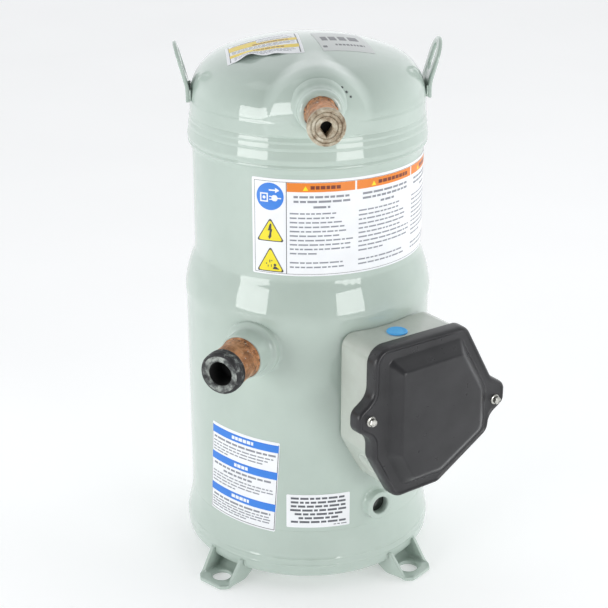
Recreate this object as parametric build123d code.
from build123d import *
import os
import math

os.makedirs("parts", exist_ok=True)

# Hermetic scroll compressor. Millimetres, +Z up, floor at z = 0, front is -Y.
# theta is measured from the front (-Y) towards +X.

# ---------------------------------------------------------------- driving sizes
SHELL_R = 121.5          # lower shell outside radius
UPPER_R = 112.0          # upper shell outside radius
WALL = 4.0               # shell wall
SHELL_Z0 = 30.0          # lower end of the shell
SHOULDER_Z0 = 273.0      # start of the shoulder
SHOULDER_Z1 = 330.0      # end of the shoulder
SHELL_Z1 = 450.0         # upper end of the shell
CAP_TOP = 532.0          # top of the dome
SKIRT_R = 116.2          # top cap skirt radius
SEAM_Z = 428.0           # lower edge of the skirt
RIM_R = 126.9            # bottom cap rim radius
RIM_TOP = 54.0
CAP_UNDER = 13.5         # underside of the bottom cap
FOOT_PITCH = 190.5       # square foot bolt pattern
FOOT_HOLE_R = 9.5
FOOT_T = 4.0
SUCTION_ANGLE = -30.0
SUCTION_Z = 258.0
SUCTION_BORE_R = 17.55
SUCTION_TUBE_R = 19.15
DISCHARGE_Z = 490.0
DISCHARGE_BORE_R = 11.2
DISCHARGE_TUBE_R = 13.85
GLASS_ANGLE = 29.0
GLASS_Z = 87.0
BOX_ANGLE = 30.0
BOX_MOUTH = 171.0        # distance of the box mouth from the shell axis
COVER_BACK = 160.0
COVER_FACE = 174.0
PANEL_FACE = 186.0
SCREWS = [(-50.0, 211.0), (102.0, 192.0)]
ORBIT = 5.3              # orbit radius of the moving scroll
BASE_R = 3.2             # involute base circle radius
WRAP_T = 4.5
STATOR_Z0, STATOR_Z1 = 100.0, 200.0
FRAME_FLOOR = 350.0
FIT = 0.12               # gap between fixed concentric pieces


# ---------------------------------------------------------------- helpers
def rz(theta):
    a = math.radians(theta)
    return math.sin(a), -math.cos(a)


def radial_plane(theta, z=0.0, d=0.0, u=0.0):
    """Plane with local x tangential, local y up and local z outward."""
    s, c = rz(theta)
    t = (-c, s)
    return Plane(origin=(s * d + t[0] * u, c * d + t[1] * u, z), x_dir=(t[0], t[1], 0), z_dir=(s, c, 0))


def rev(pts, angle=360.0, start=0.0):
    """Solid of revolution about Z from (r, z) points."""
    w = Plane.XZ * Polyline(*pts, close=True)
    s = revolve(make_face(w), Axis.Z, angle)
    return Rot(0, 0, start) * s if start else s


def rev_curves(*curves):
    w = Curve() + [c for c in curves]
    return revolve(make_face(Plane.XZ * w), Axis.Z, 360)


def ring(r_out, r_in, z0, z1, at=(0, 0)):
    h = z1 - z0
    s = Cylinder(r_out, h) - Cylinder(r_in, h + 2)
    return Pos(at[0], at[1], (z0 + z1) / 2) * s


def rod(r, z0, z1, at=(0, 0)):
    return Pos(at[0], at[1], (z0 + z1) / 2) * Cylinder(r, z1 - z0)


def radial_rod(r, theta, z, d0, d1, u=0.0):
    return extrude(radial_plane(theta, z, d0, u) * Circle(r), d1 - d0)


def radial_tube(r_out, r_in, theta, z, d0, d1, u=0.0):
    p = radial_plane(theta, z, d0, u)
    return extrude(p * (Circle(r_out) - Circle(r_in)), d1 - d0)


def rounded(pts):
    """Closed wire of lines and arcs from (x, y, radius) corners."""
    n = len(pts)
    ends, arcs = [], []
    for i in range(n):
        x, y, r = pts[i]
        ax, ay = pts[i - 1][0] - x, pts[i - 1][1] - y
        bx, by = pts[(i + 1) % n][0] - x, pts[(i + 1) % n][1] - y
        la, lb = math.hypot(ax, ay), math.hypot(bx, by)
        ax, ay, bx, by = ax / la, ay / la, bx / lb, by / lb
        half = math.acos(max(-1, min(1, ax * bx + ay * by))) / 2
        t = r / math.tan(half)
        mx, my = ax + bx, ay + by
        lm = math.hypot(mx, my)
        k = r / math.sin(half) - r
        p0, p1 = (x + ax * t, y + ay * t), (x + bx * t, y + by * t)
        pm = (x + mx / lm * k, y + my / lm * k)
        ends.append((p0, p1))
        arcs.append(ThreePointArc(p0, pm, p1))
    edges = []
    for i in range(n):
        edges.append(arcs[i])
        edges.append(Line(ends[i][1], ends[(i + 1) % n][0]))
    return Curve() + edges


def inset(pts, a):
    """The same corners moved inward by a, for clockwise (x, y, radius) corners."""
    n, out = len(pts), []
    area = sum(pts[i - 1][0] * pts[i][1] - pts[i][0] * pts[i - 1][1] for i in range(n))
    sg = 1 if area > 0 else -1
    for i in range(n):
        x, y, r = pts[i]
        px, py = pts[i - 1][0], pts[i - 1][1]
        qx, qy = pts[(i + 1) % n][0], pts[(i + 1) % n][1]
        d1 = (x - px, y - py)
        d2 = (qx - x, qy - y)
        l1, l2 = math.hypot(*d1), math.hypot(*d2)
        n1 = (-sg * d1[1] / l1, sg * d1[0] / l1)
        n2 = (-sg * d2[1] / l2, sg * d2[0] / l2)
        det = 1 + n1[0] * n2[0] + n1[1] * n2[1]
        turn = (d1[0] * d2[1] - d1[1] * d2[0]) * sg
        out.append((x + a * (n1[0] + n2[0]) / det, y + a * (n1[1] + n2[1]) / det,
                    max(1.5, r - a if turn > 0 else r + a)))
    return out


def save(name, shape):
    solids = shape.solids()
    body = solids[0] if len(solids) == 1 else Compound(children=list(solids))
    body.label = name
    export_step(body, f"parts/{name}.step")
    print(name, len(solids), round(sum(s.volume for s in solids), 1))


# ---------------------------------------------------------------- bottom cap and shell
cap_outer = [
    Line((0, CAP_UNDER), (116.9, CAP_UNDER)),
    ThreePointArc((116.9, CAP_UNDER), (116.9 + 7.071, CAP_UNDER + 2.929), (RIM_R, CAP_UNDER + 10)),
    Line((RIM_R, CAP_UNDER + 10), (RIM_R, 33)),
    Spline((RIM_R, 33), (126.3, 40), (124.6, 47), (122.9, RIM_TOP), tangents=[(0, 1), (-0.05, 1)]),
]
cap_in_r = SHELL_R + FIT
bottom_cap = rev_curves(
    *cap_outer,
    Line((122.9, RIM_TOP), (cap_in_r, RIM_TOP)),
    Line((cap_in_r, RIM_TOP), (cap_in_r, SHELL_Z0)),
    Line((cap_in_r, SHELL_Z0), (118.4, SHELL_Z0)),
    ThreePointArc((118.4, SHELL_Z0), (114.8, 21.6), (106.4, 18.0)),
    Line((106.4, 18.0), (0, 18.0)),
    Line((0, 18.0), (0, CAP_UNDER)),
)
cap_filled = rev_curves(
    *cap_outer,
    Line((122.9, RIM_TOP), (0, RIM_TOP)),
    Line((0, RIM_TOP), (0, CAP_UNDER)),
)
save("bottom_cap", bottom_cap)

shell_body = rev_curves(
    Line((SHELL_R - WALL, SHELL_Z0), (SHELL_R, SHELL_Z0)),
    Line((SHELL_R, SHELL_Z0), (SHELL_R, SHOULDER_Z0)),
    Spline((SHELL_R, SHOULDER_Z0), (122.4, 284), (121.0, 297), (117.9, 309), (114.0, 320), (UPPER_R, SHOULDER_Z1),
           tangents=[(0, 1), (0, 1)]),
    Line((UPPER_R, SHOULDER_Z1), (UPPER_R, SHELL_Z1)),
    Line((UPPER_R, SHELL_Z1), (UPPER_R - WALL, SHELL_Z1)),
    Line((UPPER_R - WALL, SHELL_Z1), (UPPER_R - WALL, 331)),
    Spline((UPPER_R - WALL, 331), (110.2, 318), (114.0, 307), (116.9, 296), (SHELL_R - WALL, 284),
           tangents=[(0, -1), (0, -1)]),
    Line((SHELL_R - WALL, 284), (SHELL_R - WALL, SHELL_Z0)),
)
TERM_U, TERM_Z = 12.0, 240.0
shell_body -= radial_rod(22.4, SUCTION_ANGLE, SUCTION_Z, 90, 140)
shell_body -= radial_rod(15.1, GLASS_ANGLE, GLASS_Z, 90, 140)
shell_body -= radial_rod(18.6, BOX_ANGLE, TERM_Z, 90, 140, TERM_U)
save("shell_body", shell_body)

# ---------------------------------------------------------------- top cap
CROWN_R = 244.7          # dome crown radius
KNUCKLE_R = 45.0         # dome corner radius
CAP_R = 112.8            # top cap outside radius above the skirt
CAP_WALL = 4.0
crown_z = CAP_TOP - CROWN_R
knuckle_x = CAP_R - KNUCKLE_R
knuckle_z = crown_z + math.sqrt((CROWN_R - KNUCKLE_R) ** 2 - knuckle_x ** 2)


def dome_curves(off):
    """Knuckle and crown arcs from the cap wall to the apex, moved in by off."""
    a = math.atan2(knuckle_z - crown_z, knuckle_x)
    k, c = KNUCKLE_R - off, CROWN_R - off
    b = (a + math.pi / 2) / 2
    start = (knuckle_x + k, knuckle_z)
    mid = (knuckle_x + k * math.cos(a / 2), knuckle_z + k * math.sin(a / 2))
    join = (c * math.cos(a), crown_z + c * math.sin(a))
    crown_mid = (c * math.cos(b), crown_z + c * math.sin(b))
    return [ThreePointArc(start, mid, join), ThreePointArc(join, crown_mid, (0, crown_z + c))]


skirt_in = UPPER_R + FIT


def cap_profile(inner):
    outer = [
        Line((skirt_in, SEAM_Z), (113.4, SEAM_Z)),
        Line((113.4, SEAM_Z), (SKIRT_R, 436)),
        Line((SKIRT_R, 436), (SKIRT_R, 453)),
        Spline((SKIRT_R, 453), (114.9, 459), (113.3, 465), (CAP_R, 471), tangents=[(0, 1), (0, 1)]),
        Line((CAP_R, 471), (CAP_R, knuckle_z)),
        *dome_curves(0),
    ]
    if inner:
        return outer + [
            Line((0, CAP_TOP), (0, CAP_TOP - CAP_WALL)),
            *dome_curves(CAP_WALL),
            Line((CAP_R - CAP_WALL, knuckle_z), (CAP_R - CAP_WALL, 466)),
            Line((CAP_R - CAP_WALL, 466), (skirt_in, 457)),
            Line((skirt_in, 457), (skirt_in, SEAM_Z)),
        ]
    return outer + [Line((0, CAP_TOP), (0, SEAM_Z)), Line((0, SEAM_Z), (skirt_in, SEAM_Z))]


def bulge(off):
    """Pressed ridge that runs from the dome out to the discharge fitting."""
    secs = []
    for y, half, z0, z1, r in ((40, 33, 466, 527.8, 30), (118, 33, 461, 520.8, 29.5)):
        h, a, b = half - off, z0 + off, z1 - off
        p = Plane(origin=(0, -y, (a + b) / 2), x_dir=(1, 0, 0), z_dir=(0, -1, 0))
        secs.append(p * RectangleRounded(2 * h, b - a, min(r - off / 2, h - 0.5, (b - a) / 2 - 0.5)))
    return loft(secs)


top_cap = rev_curves(*cap_profile(True))
cap_solid = rev_curves(*cap_profile(False))
top_cap += bulge(0) - rod(109.0, 428, 505) - cap_solid
top_cap -= bulge(4) & Pos(0, -90.5, 490) * Box(120, 47, 90)
top_cap -= radial_rod(20.6, 0, DISCHARGE_Z, 96, 140)
top_cap -= rod(108.7, 428, 475)
save("top_cap", top_cap)

# ---------------------------------------------------------------- feet and lifting lugs
FOOT_D = FOOT_PITCH / 2 * math.sqrt(2)


def foot():
    side = Plane.XZ * Polyline((153, 0), (122, 0), (107, 9.5), (92, 9.5), (92, 13.5), (105.4, 13.5), (120.5, FOOT_T),
                               (153, FOOT_T), close=True)
    plate = extrude(make_face(side), 24, both=True)
    plan = rounded([(152.2, -13.5, 4), (152.2, 13.5, 4), (146, 20, 6), (124, 21.5, 4), (90, 23, 2), (90, -23, 2),
                    (124, -21.5, 4), (146, -20, 6)])
    plate &= extrude(make_face(plan), 40)
    fl = Plane.XZ * Polyline((144, FOOT_T - 1), (141.5, 6.5), (127.5, 25.5), (106, 25.5), (104, 14), (120, FOOT_T - 1),
                             close=True)
    flange = extrude(make_face(fl), 24, both=True)
    bands = extrude(make_face(rounded([(146, 20, 6), (124, 21.5, 4), (90, 23, 2), (90, 19.2, 1), (124, 17.7, 4),
                                       (146, 16.2, 1)])), 40)
    flange &= bands + mirror(bands, Plane.XZ)
    f = plate + flange
    f -= Pos(FOOT_D, 0, 0) * Cylinder(FOOT_HOLE_R, 30)
    f -= cap_filled
    return f


one_foot = foot()
feet = [Rot(0, 0, a) * s for a in (-45, 45, 135, 225) for s in one_foot.solids()]
save("mounting_foot", Compound(children=feet))


def lug():
    side = Plane.XZ * Polyline((112.95, 474), (112.95, 487), (124.4, 528), (127.9, 527), (116.5, 486.5),
                               (116.5, 474), close=True)
    strap = extrude(make_face(side), 20, both=True)
    face = Plane.YZ * (Pos(0, 485) * Rectangle(40, 44) + Pos(0, 508) * Circle(20))
    strap &= extrude(face, 140)
    hole = Plane.YZ * (Pos(0, 509) * SlotCenterToCenter(9, 16, rotation=90))
    return strap - extrude(hole, 140) - (Pos(0, 0, 0.05) * cap_solid) - (Pos(0.06, 0, 0) * cap_solid)


one_lug = lug()
save("lifting_lug", Compound(children=[one_lug.solid(), (Rot(0, 0, 180) * one_lug).solid()]))

# ---------------------------------------------------------------- suction port
sd = SUCTION_ANGLE
suction_fitting = radial_tube(27.0, 17.0, sd, SUCTION_Z, 112, 125.5)
suction_fitting -= rod(SHELL_R + FIT, 200, 300) + rod(122.6, 272, 300)
suction_fitting += radial_tube(22.2, 17.0, sd, SUCTION_Z, 112, 147)
suction_fitting -= radial_rod(SUCTION_TUBE_R + 0.1, sd, SUCTION_Z, 122, 150)
save("suction_fitting", suction_fitting)
suction_stub = radial_tube(SUCTION_TUBE_R, SUCTION_BORE_R, sd, SUCTION_Z, 122.05, 182)
save("suction_stub", suction_stub)

# ---------------------------------------------------------------- discharge port
fit_face = 134.0
discharge_fitting = radial_tube(20.5, 10.7, 0, DISCHARGE_Z, 97, fit_face)
discharge_fitting -= radial_rod(DISCHARGE_TUBE_R + 0.1, 0, DISCHARGE_Z, 119, 150)
outer_edges = discharge_fitting.edges().filter_by(GeomType.CIRCLE).sort_by(Axis.Y)[:2]
big = [e for e in outer_edges if e.radius > 20]
discharge_fitting = fillet(big, 5.0)
save("discharge_fitting", discharge_fitting)
discharge_stub = radial_tube(DISCHARGE_TUBE_R, DISCHARGE_BORE_R, 0, DISCHARGE_Z, 119.05, 176)
save("discharge_stub", discharge_stub)

# ---------------------------------------------------------------- sight glass
glass_boss = radial_tube(14.9, 8.6, GLASS_ANGLE, GLASS_Z, 117.9, 130)
glass_boss -= radial_rod(10.6, GLASS_ANGLE, GLASS_Z, 112, 122)
save("sight_glass_boss", glass_boss)
save("sight_glass_lens", radial_rod(10.5, GLASS_ANGLE, GLASS_Z, 119.4, 121.98))
save("sight_glass_ring", radial_tube(10.5, 8.2, GLASS_ANGLE, GLASS_Z, 117.9, 119.38))

# ---------------------------------------------------------------- terminal box
cover_pts = [(-46.5, 280, 17), (62, 280, 16), (96.5, 218, 16), (114.5, 206, 10.5), (114.5, 187, 10.5), (97, 176, 13),
             (95, 160, 14), (33, 121.5, 12), (-20, 120.5, 14), (-46.8, 170, 16), (-47, 191, 18), (-64.8, 202.5, 11),
             (-64.8, 220, 11), (-46.8, 232, 18)]
box_pts = [(-43.3, 276.6, 14), (60.1, 276.6, 13), (93.4, 217, 9), (91.8, 162, 12), (32, 124.9, 10), (-18, 123.9, 11),
           (-43.3, 171, 13)]
bp = radial_plane(BOX_ANGLE)


def prism(pts, d0, d1):
    return extrude(Pos(0, 0, d0) * make_face(rounded(pts)), d1 - d0)


def local_rod(u, z, r, d0, d1):
    return extrude(Pos(u, z, d0) * Circle(r), d1 - d0)


box_in = inset(box_pts, 2.0)
BOX_BACK = 117.5
BOX_FLOOR = BOX_BACK + 2.0
box_local = prism(box_pts, BOX_BACK, BOX_MOUTH) - prism(box_in, BOX_FLOOR, BOX_MOUTH + 5)
tabs = []
for (u, z), s in zip(SCREWS, (-1, 1)):
    t = Pos(u - s * 6, z, BOX_MOUTH - 2.5) * Box(30, 22, 5) - prism(box_in, 60, BOX_MOUTH + 5)
    t &= prism(inset(cover_pts, 3.4), 100, BOX_MOUTH)
    tabs.append(t - local_rod(u, z, 2.55, 100, 200))
for t in tabs:
    box_local += t
box_local -= local_rod(TERM_U, TERM_Z, 24.5, 110, 130)
PLUG_U, PLUG_D = 2.7, 142.0
box_local -= Pos(PLUG_U, 270, PLUG_D) * Rot(90, 0, 0) * Cylinder(8.7, 24)
terminal_box = bp * box_local - rod(SHELL_R + FIT, 100, 271) - rod(122.6, 270.5, 300)
terminal_box = max(terminal_box.solids(), key=lambda s: s.volume)
save("terminal_box", terminal_box)

plug = Pos(PLUG_U, 277.3, PLUG_D) * Rot(90, 0, 0) * Cylinder(9.9, 1.3)
plug += Pos(PLUG_U, 274.0, PLUG_D) * Rot(90, 0, 0) * (Cylinder(8.6, 5.4) - Cylinder(7.0, 7))
save("hole_plug", bp * plug)

gasket_in = inset(box_pts, 4.5)
gasket_out = inset(cover_pts, 3.3)
gasket = prism(gasket_out, BOX_MOUTH + 0.02, BOX_MOUTH + 1.0) - prism(gasket_in, BOX_MOUTH - 1, BOX_MOUTH + 3)
for u, z in SCREWS:
    gasket -= local_rod(u, z, 3.2, 100, 200)
save("cover_gasket", bp * gasket)

# cover: lid with a skirt, screw ears and a raised bevelled panel
panel_base = [(-30, 265, 6), (55, 267, 6), (88, 209, 10), (87, 165, 12), (36, 134, 10), (-10, 133, 10), (-30, 171, 14)]
panel_top = [(-22.5, 257, 4), (47.5, 258.5, 4), (73, 214, 8), (74, 174, 9), (25, 145, 8), (-7, 144, 8), (-22.5, 173, 10)]


def frustum(base, top, d0, d1):
    a = Pos(0, 0, d0) * make_face(rounded(base))
    b = Pos(0, 0, d1) * make_face(rounded(top))
    return loft([a, b], ruled=True)


lid = prism(cover_pts, COVER_BACK, COVER_FACE)
front = lid.faces().sort_by(Axis.Z)[-1]
lid = fillet(front.outer_wire().edges(), 3.0)
lid += frustum(panel_base, panel_top, COVER_FACE - 0.01, PANEL_FACE)
LID_T = 2.6
lid -= prism(inset(cover_pts, 2.6), COVER_BACK - 1, BOX_MOUTH + 1.02)
lid -= frustum(inset(panel_base, 2.2), inset(panel_top, 1.6), BOX_MOUTH, PANEL_FACE - 2.6)
for u, z in SCREWS:
    lid -= local_rod(u, z, 2.9, 100, 200)
save("terminal_cover", bp * lid)

screws = []
for u, z in SCREWS:
    s = local_rod(u, z, 2.4, 161, COVER_FACE + 1.6)
    s += local_rod(u, z, 5.2, COVER_FACE + 0.02, COVER_FACE + 1.5)
    s += extrude(Pos(u, z, COVER_FACE + 1.5) * RegularPolygon(3.9, 6), 3.6)
    screws.append((bp * s).solid())
save("cover_screws", Compound(children=screws))

# sealed terminal in the shell wall
cup = local_rod(TERM_U, TERM_Z, 22.5, 119, 125.2) - local_rod(TERM_U, TERM_Z, 16.5, 111, 130)
cup = bp * cup - rod(SHELL_R + 0.05, 180, 300)
cup += bp * (local_rod(TERM_U, TERM_Z, 18.4, 108, 124.5) - local_rod(TERM_U, TERM_Z, 16.4, 111, 130))
pins, beads = [], []
for k in range(3):
    a = math.radians(90 + 120 * k)
    u, z = TERM_U + 9 * math.cos(a), TERM_Z + 9 * math.sin(a)
    cup -= bp * local_rod(u, z, 4.6, 100, 130)
    pins.append((bp * local_rod(u, z, 2.0, 97, 141)).solid())
    beads.append((bp * (local_rod(u, z, 4.55, 106.5, 113) - local_rod(u, z, 2.05, 100, 130))).solid())
save("terminal_cup", cup)
save("terminal_pins", Compound(children=pins))
save("terminal_beads", Compound(children=beads))
earth = local_rod(52, 186, 3.0, BOX_FLOOR + 0.05, 126) + extrude(Pos(52, 186, 121.5) * RegularPolygon(5.6, 6), 3.4)
earth += local_rod(52, 186, 7.0, BOX_FLOOR + 0.05, 121.2)
save("earth_screw", bp * earth)

# ---------------------------------------------------------------- motor
slots = []
stator = ring(SHELL_R - WALL - FIT, 46.0, STATOR_Z0, STATOR_Z1)
for k in range(24):
    slots.append(Rot(0, 0, 15 * k) * Pos(70.5, 0, 150) * Box(37, 7.0, 110))
    slots.append(Rot(0, 0, 15 * k) * Pos(49, 0, 150) * Box(8, 2.6, 110))
for k in range(4):
    slots.append(Rot(0, 0, 22.5 + 90 * k) * Pos(118.5, 0, 150) * Box(10, 26, 110))
stator -= slots
save("stator_core", stator)


def end_turn(z0, z1):
    f = Plane.XZ * (Pos(76, (z0 + z1) / 2) * RectangleRounded(46, z1 - z0, 8))
    return revolve(f, Axis.Z, 360)


wind = end_turn(STATOR_Z1 + 2, STATOR_Z1 + 26) + end_turn(STATOR_Z0 - 26, STATOR_Z0 - 2)
wind += [Rot(0, 0, 15 * k) * Pos(70.5, 0, 150) * Box(36, 6.6, 108) for k in range(24)]
save("stator_windings", wind)

ties = []
for k in range(12):
    for zc in (STATOR_Z1 + 14, STATOR_Z0 - 14):
        t = Plane.XZ * (Pos(76, zc) * (RectangleRounded(48.6, 26.6, 9) - RectangleRounded(46.4, 24.4, 8.2)))
        t = Rot(0, 0, 30 * k + 9) * extrude(t, 1.6, both=True)
        ties.append(t)
ties = [t.solid() for t in ties]
save("winding_ties", Compound(children=ties))

leads = []
s30, c30 = rz(BOX_ANGLE)
for k in range(3):
    a = math.radians(90 + 120 * k)
    u, z = TERM_U + 9 * math.cos(a), TERM_Z + 9 * math.sin(a)
    p = (s30 * 95.4 - c30 * u, c30 * 95.4 + s30 * u, z)
    s, c = rz(19 + 5 * (2, 0, 1)[k])
    path = FilletPolyline(p, (s * 78, c * 78, z), (s * 78, c * 78, STATOR_Z1 + 26.1), radius=5.0)
    leads.append(sweep(Plane(origin=path @ 0, z_dir=path % 0) * Circle(1.9), path=path).solid())
save("motor_leads", Compound(children=leads))

rotor = ring(45.4, 17.5, STATOR_Z0, STATOR_Z1)
save("rotor_core", rotor)
cage = ring(44.5, 30, STATOR_Z1 + 0.02, STATOR_Z1 + 9)
cage += [Rot(0, 0, 60 * k) * Pos(37, 0, STATOR_Z1 + 12) * Cylinder(3.2, 8) for k in range(6)]
cage2 = ring(44.5, 30, STATOR_Z0 - 9, STATOR_Z0 - 0.02)
save("rotor_end_rings", Compound(children=[cage.solid(), cage2.solid()]))

# ---------------------------------------------------------------- shaft
shaft = rod(15.0, 44, 74) + rod(17.4, 74, 262) + rod(19.0, 262, 336.5) + rod(14.0, 336, 354.6, (ORBIT, 0))
shaft -= rod(3.2, 40, 360, (4, 0))
save("crankshaft", shaft)
pickup = rod(14.8, 34, 43.98) + rev([(0, 25), (6, 25), (14.8, 34), (0, 34)])
pickup -= rod(3.0, 20, 45)
save("oil_pickup", pickup)
upper_cw = ring(30, 19.1, 264, 290) + (ring(60, 24, 264, 290) & Pos(-40, 0, 277) * Box(80, 130, 40))
save("upper_counterweight", upper_cw)
lower_cw = ring(44, 17.6, 77, 90.8) & Pos(22, 0, 84) * Box(60, 100, 40)
lower_cw += ring(24, 17.6, 77, 90.8)
save("lower_counterweight", lower_cw)

# ---------------------------------------------------------------- bearings and frame
main_bearing = ring(22.5, 19.05, 300, 334)
save("main_bearing", main_bearing)
frame = rev([(22.6, 300), (34, 300), (36, 326), (62, 337), (UPPER_R - WALL - FIT, 337), (UPPER_R - WALL - FIT, 385),
             (92, 385), (92, FRAME_FLOOR), (33, FRAME_FLOOR), (33, 336.8), (22.6, 336.8)])
frame -= [Pos(s * 72, 0, FRAME_FLOOR) * Box(26.4, 10.3, 11.4) for s in (-1, 1)]
bolt_ring = 97.5
for k in range(6):
    a = math.radians(30 + 60 * k)
    frame -= rod(4.15, 360, 386, (bolt_ring * math.cos(a), bolt_ring * math.sin(a)))
frame -= [Rot(0, 0, 60 * k) * Pos(100, 0, 379) * Box(30, 34, 20) for k in range(6)]
frame -= [Rot(0, 0, 90 * k + 45) * Pos(110, 0, 350) * Box(12, 20, 40) for k in range(4)]
save("main_frame", frame)

spider = ring(30, 18.1, 50, 70)
arm = Pos(72, 0, 56) * Box(88, 22, 12)
spider_arms = [Rot(0, 0, a) * arm for a in (90, 210, 330)]
for s in spider_arms:
    spider += s - rod(29, 40, 80)
spider += ring(SHELL_R - WALL - FIT, 104, 50, 62) & (
    Compound(children=[(Rot(0, 0, a) * Pos(105, 0, 56) * Box(60, 50, 14)).solid() for a in (90, 210, 330)]))
save("lower_bearing_plate", spider)
save("lower_bearing", ring(18.0, 15.05, 50, 70))

# ---------------------------------------------------------------- scroll set
FLAT_GAP = 0.15
ORB_BOT = 356.3
ORB_TOP = 368.3
FIX_UNDER = 404.6


def wrap(half, z0, z1, f0=4.6, f1=24.4, turn=0.0):
    def pts(off):
        out, n = [], 64
        for i in range(n + 1):
            f = f0 + (f1 - f0) * i / n
            out.append((BASE_R * math.cos(f) + (BASE_R * f + off) * math.sin(f),
                        BASE_R * math.sin(f) - (BASE_R * f + off) * math.cos(f)))
        return out
    a, b = pts(half), pts(-half)
    w = Curve() + [Spline(*a), Line(a[-1], b[-1]), Spline(*b), Line(b[0], a[0])]
    s = extrude(make_face(w), z1 - z0)
    return Rot(0, 0, turn) * (Pos(0, 0, z0) * s)


orb = rod(85.0, ORB_BOT, ORB_TOP) + rod(26.0, 338.5, ORB_BOT + 1)
orb += wrap(WRAP_T / 2, ORB_TOP - 0.5, FIX_UNDER - 0.3)
orb -= wrap(0.85, FIX_UNDER - 1.9, FIX_UNDER, 6.0, 23.8)
orb -= rod(16.6, 338, 355.0)
orb -= [Pos(0, s * 74, ORB_BOT) * Box(10.3, 27, 11.4) for s in (-1, 1)]
save("orbiting_scroll", Pos(ORBIT, 0, 0) * orb)
seal = wrap(0.8, FIX_UNDER - 1.88, FIX_UNDER - 0.12, 6.1, 23.7)
save("orbiting_tip_seal", Pos(ORBIT, 0, 0) * seal)
save("orbiting_bearing", ring(16.5, 14.05, 338.6, 354.9, (ORBIT, 0)))

fix = rod(104.0, FIX_UNDER, 420) + ring(104.0, 91.5, 385, FIX_UNDER + 1) + rod(30.0, 419, 448)
fix += wrap(WRAP_T / 2, ORB_TOP + 0.3, FIX_UNDER + 0.5, 4.6, 24.4, 180)
fix -= wrap(0.85, ORB_TOP, ORB_TOP + 1.9, 6.0, 23.8, 180)
fix -= rod(7.5, 400, 432)
fix -= rod(14.2, 432, 450)
fix -= [Rot(0, 0, 90 * k) * Pos(98, 0, 393) * Box(30, 34, 15) for k in (0, 2)]
bolts = []
for k in range(6):
    a = math.radians(30 + 60 * k)
    at = (bolt_ring * math.cos(a), bolt_ring * math.sin(a))
    fix -= rod(4.3, 380, 424, at)
    b = rod(4.0, 362, 421, at) + Pos(at[0], at[1], 420.02) * extrude(RegularPolygon(6.4, 6), 6)
    b = b + rod(6.4, 420.02, 421.2, at)
    bolts.append(b.solid())
save("fixed_scroll", fix)
save("scroll_bolts", Compound(children=bolts))
fseal = wrap(0.8, ORB_TOP + 0.12, ORB_TOP + 1.88, 6.1, 23.7, 180)
save("fixed_tip_seal", fseal)
save("thrust_ring", ring(58, 36, FRAME_FLOOR + FLAT_GAP, ORB_BOT - FLAT_GAP, (ORBIT / 2, 0)))

old = ring(84, 63, FRAME_FLOOR + 0.3, 355.9)
old += [Pos(s * 72, 0, 348.6) * Box(14, 10, 7.6) for s in (-1, 1)]
old += [Pos(0, s * 73, 358.2) * Box(10, 14, 6.4) for s in (-1, 1)]
save("oldham_ring", Pos(ORBIT, 0, 0) * old)

# ---------------------------------------------------------------- discharge side
separator = rev([(30.6, 441), (92, 441), (104, 450.05), (UPPER_R - 0.1, 450.05), (UPPER_R - 0.1, 453.5),
                 (103, 453.5), (91, 444.5), (30.6, 444.5)])
save("separator_plate", separator)
save("valve_disc", rod(12.0, 432.1, 434.3))
guard = ring(14.1, 12.6, 438.5, 443) + rod(13.6, 440.5, 443)
guard -= [Rot(0, 0, 120 * k) * Pos(8, 0, 441) * Cylinder(3.2, 10) for k in range(3)]
save("valve_guard", guard)

# ---------------------------------------------------------------- stickers
STK = 0.3


def sector(r, z0, z1, t0, t1):
    """Curved sticker on a cylinder between two theta angles."""
    p = Plane.XZ * Polyline((r + 0.05, z0), (r + STK, z0), (r + STK, z1), (r + 0.05, z1), close=True)
    s = revolve(make_face(p), Axis.Z, t1 - t0)
    return Rot(0, 0, t0 - 90) * s


save("warning_label", sector(UPPER_R, 331.0, 423.6, -31.8, 88.0))
save("oil_label", sector(SHELL_R, 70.0, 106.5, -14.7, 15.0))
notice = ring(SHELL_R + STK, SHELL_R + 0.05, 40, 190)
notice &= extrude(radial_plane(-37.6, 114.5, 60) * (Rot(0, 0, -3.4) * Rectangle(79.5, 99)), 90)
save("notice_label", notice)


def dome_sticker(corners):
    tool = extrude(Pos(0, 0, 480) * make_face(Polyline(*corners, close=True)), 60, dir=(0, 0, 1))
    outer = (Pos(0, 0, STK) * cap_solid) & tool
    left = outer - (Pos(0, 0, 0.04) * cap_solid) - (Pos(0, 0, 0.04) * bulge(0))
    return max(left.solids(), key=lambda s: s.volume)


save("dome_label_left", dome_sticker([(-78.4, 1), (-9.5, 8.2), (-7.5, -53.5), (-77.5, -47)]))
save("dome_label_right", dome_sticker([(2.5, 3.2), (49.2, 16.9), (59, -41), (10.3, -50)]))
